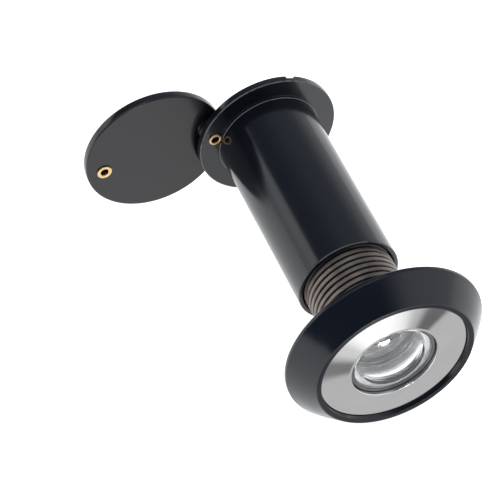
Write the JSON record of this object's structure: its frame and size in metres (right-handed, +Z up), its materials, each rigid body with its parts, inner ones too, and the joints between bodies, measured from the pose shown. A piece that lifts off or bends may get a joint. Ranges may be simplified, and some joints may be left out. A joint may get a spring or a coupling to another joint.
{
  "type": "door viewer",
  "caption": "Peephole door viewer: round bezel with a bright ring and wide-angle lens, threaded barrel, screw-on sleeve with flange and a swinging privacy cover.",
  "frame": {"origin": "on the optical axis, in the plane of the door's outer face, at the back of the bezel", "axes": "+Y along the optical axis from outdoors to indoors, +Z up, +X to the right seen from outdoors"},
  "size_m": [0.0436, 0.0552, 0.0304],
  "materials": {
    "black_paint": "satin black lacquer on metal, smooth",
    "gloss_black": "glossy black lacquer on metal",
    "bright_chrome": "polished bright plating",
    "bronze_thread": "dull bronze-grey machined thread",
    "brass": "bright yellow brass, burnished",
    "blackened_metal": "matt blackened metal",
    "satin_aluminium": "satin aluminium, finely turned",
    "washer_steel": "plain steel, lightly brushed",
    "optical_glass": "clear polished glass"
  },
  "bodies": {
    "outer_unit": {"outer_bezel": "black_paint", "reflector_ring": "bright_chrome", "objective_retainer": "satin_aluminium", "objective_lens": "optical_glass", "lens_spacer_front": "satin_aluminium", "second_lens": "optical_glass", "lens_spacer_rear": "satin_aluminium", "third_lens": "optical_glass", "lens_lock_ring": "blackened_metal", "threaded_barrel": "bronze_thread"},
    "eyepiece": {"eyepiece_lens": "optical_glass", "eyepiece_ring": "blackened_metal"},
    "sleeve": {"inner_sleeve": "gloss_black", "rear_flange": "gloss_black", "pivot_rivet": "brass", "cover_washer": "washer_steel"},
    "cover": {"privacy_cover": "black_paint", "knob_rivet": "brass"}
  },
  "joints": [
    {"name": "sleeve_travel", "type": "slide", "parent": "outer_unit", "child": "eyepiece", "axis": [0, 1, 0], "range_m": [-0.0117, 0.01]},
    {"name": "sleeve_turn", "type": "hinge", "parent": "eyepiece", "child": "sleeve", "pos_m": [0, 0, 0], "axis": [0, 1, 0], "range_deg": [-4212, 3600]},
    {"name": "cover_swing", "type": "hinge", "parent": "sleeve", "child": "cover", "pos_m": [-0.00856, 0.0444, 0.00262], "axis": [0, -1, 0], "range_deg": [-205, 155]}
  ],
  "couplings": [
    {"joint": "sleeve_turn", "follows": "sleeve_travel", "rad_per_m": 6283.2}
  ]
}
